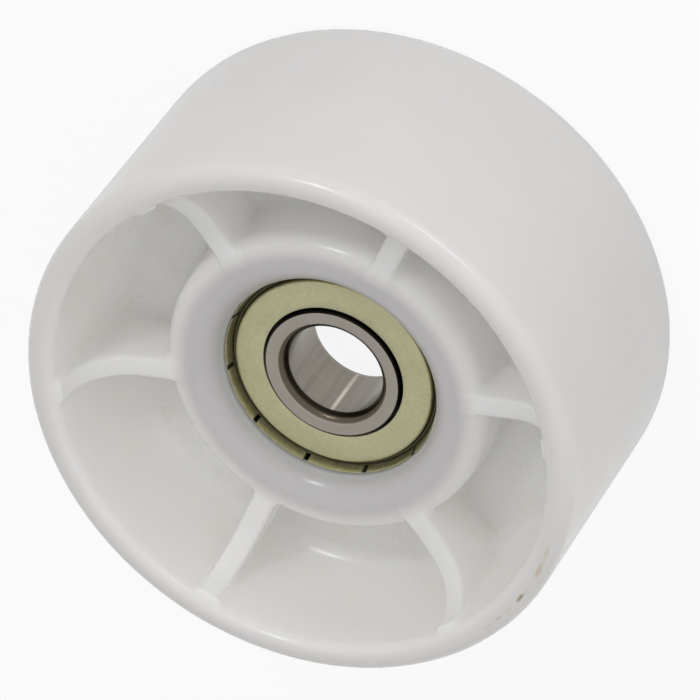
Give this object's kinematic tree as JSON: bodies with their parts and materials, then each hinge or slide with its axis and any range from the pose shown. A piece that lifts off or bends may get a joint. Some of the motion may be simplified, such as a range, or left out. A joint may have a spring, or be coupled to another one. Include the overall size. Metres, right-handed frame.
{
  "type": "dryer tension wheel",
  "caption": "White moulded belt tension wheel for a tumble dryer, with a ribbed recess on each side and a shielded ball bearing moulded into its hub.",
  "frame": {"origin": "on the wheel's axis, in the plane of the rear rim face that it rests on", "axes": "+Z along the axle, towards the pictured front face; +X through the middle of a pocket between two ribs"},
  "size_m": [0.046, 0.046, 0.023],
  "materials": {
    "white_plastic": "satin moulded, slightly translucent",
    "ring_steel": "ground",
    "shield_steel": "matt zinc plate, yellow-green passivated",
    "ball_steel": "polished",
    "cage_steel": "pressed sheet"
  },
  "bodies": {
    "inner": {"inner_ring": "ring_steel"},
    "wheel": {"wheel": "white_plastic", "outer_ring": "ring_steel", "front_shield": "shield_steel", "rear_shield": "shield_steel"},
    "cage": {"cage_front": "cage_steel", "cage_rear": "cage_steel", "cage_rivets": "cage_steel"},
    "ball_1": {"ball_1": "ball_steel"},
    "ball_2": {"ball_2": "ball_steel"},
    "ball_3": {"ball_3": "ball_steel"},
    "ball_4": {"ball_4": "ball_steel"},
    "ball_5": {"ball_5": "ball_steel"},
    "ball_6": {"ball_6": "ball_steel"},
    "ball_7": {"ball_7": "ball_steel"}
  },
  "joints": [
    {"name": "wheel_spin", "type": "hinge", "parent": "inner", "child": "wheel", "pos_m": [0, 0, 0.0117], "axis": [0, 0, 1], "continuous": true},
    {"name": "cage_turn", "type": "hinge", "parent": "inner", "child": "cage", "pos_m": [0, 0, 0.0117], "axis": [0, 0, 1], "continuous": true},
    {"name": "ball_1_roll", "type": "hinge", "parent": "cage", "child": "ball_1", "pos_m": [0.0075, 0, 0.0117], "axis": [0, 0, 1], "continuous": true},
    {"name": "ball_2_roll", "type": "hinge", "parent": "cage", "child": "ball_2", "pos_m": [0.00468, 0.00586, 0.0117], "axis": [0, 0, 1], "continuous": true},
    {"name": "ball_3_roll", "type": "hinge", "parent": "cage", "child": "ball_3", "pos_m": [-0.00167, 0.00731, 0.0117], "axis": [0, 0, 1], "continuous": true},
    {"name": "ball_4_roll", "type": "hinge", "parent": "cage", "child": "ball_4", "pos_m": [-0.00676, 0.00325, 0.0117], "axis": [0, 0, 1], "continuous": true},
    {"name": "ball_5_roll", "type": "hinge", "parent": "cage", "child": "ball_5", "pos_m": [-0.00676, -0.00325, 0.0117], "axis": [0, 0, 1], "continuous": true},
    {"name": "ball_6_roll", "type": "hinge", "parent": "cage", "child": "ball_6", "pos_m": [-0.00167, -0.00731, 0.0117], "axis": [0, 0, 1], "continuous": true},
    {"name": "ball_7_roll", "type": "hinge", "parent": "cage", "child": "ball_7", "pos_m": [0.00468, -0.00586, 0.0117], "axis": [0, 0, 1], "continuous": true}
  ],
  "couplings": [
    {"joint": "cage_turn", "follows": "wheel_spin", "ratio": 0.6323},
    {"joint": "ball_1_roll", "follows": "wheel_spin", "ratio": 1.7573},
    {"joint": "ball_2_roll", "follows": "wheel_spin", "ratio": 1.7573},
    {"joint": "ball_3_roll", "follows": "wheel_spin", "ratio": 1.7573},
    {"joint": "ball_4_roll", "follows": "wheel_spin", "ratio": 1.7573},
    {"joint": "ball_5_roll", "follows": "wheel_spin", "ratio": 1.7573},
    {"joint": "ball_6_roll", "follows": "wheel_spin", "ratio": 1.7573},
    {"joint": "ball_7_roll", "follows": "wheel_spin", "ratio": 1.7573}
  ]
}
